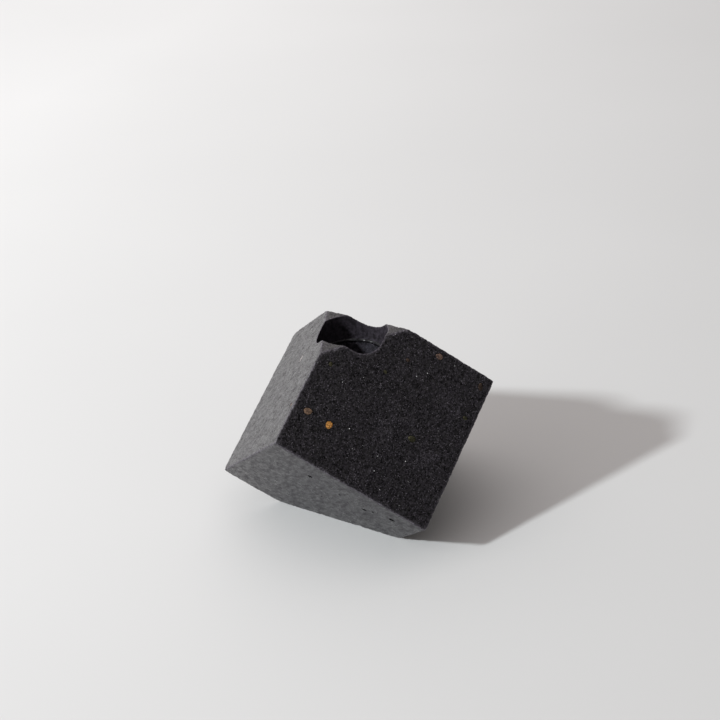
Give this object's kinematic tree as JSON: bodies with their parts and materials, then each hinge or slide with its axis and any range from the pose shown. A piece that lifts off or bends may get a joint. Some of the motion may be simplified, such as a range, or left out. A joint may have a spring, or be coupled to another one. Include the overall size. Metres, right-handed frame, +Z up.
{
  "type": "bud vase",
  "caption": "Small bud vase: a dark terrazzo cube standing on a cut-off corner, with a round bore down its upright diagonal and a lift-out glass liner that holds the water and a stem.",
  "frame": {"origin": "centre of the flat triangular base, on the surface the vase stands on, under the axis of the bore", "axes": "+Z up along the bore and the cube's upright diagonal; -Y towards the upper face that meets the viewer as the front; +X to the right of it"},
  "size_m": [0.1054, 0.1214, 0.086],
  "materials": {
    "terrazzo": "fine dark terrazzo: honed upper faces with sand and mica showing, smooth as-cast lower faces with pinholes",
    "liner_glass": "clear, fire-polished rim",
    "brass": "ground flush, satin",
    "bronze": "ground flush, dull bronze",
    "copper": "ground flush, satin copper"
  },
  "bodies": {
    "vase": {"cast_block": "terrazzo", "brass_granule_1": "brass", "brass_granule_2": "brass", "brass_granule_3": "brass", "brass_granule_4": "brass", "brass_granule_5": "brass", "brass_granule_6": "brass", "brass_granule_7": "brass", "bronze_granule_1": "bronze", "bronze_granule_2": "bronze", "bronze_granule_3": "bronze", "bronze_granule_4": "bronze", "copper_granule_1": "copper", "copper_granule_2": "copper", "copper_granule_3": "copper", "copper_granule_4": "copper"},
    "liner": {"glass_liner": "liner_glass"}
  },
  "joints": [
    {"name": "liner_lift", "type": "slide", "parent": "vase", "child": "liner", "axis": [0, 0, 1], "range_m": [0, 0.09]}
  ]
}
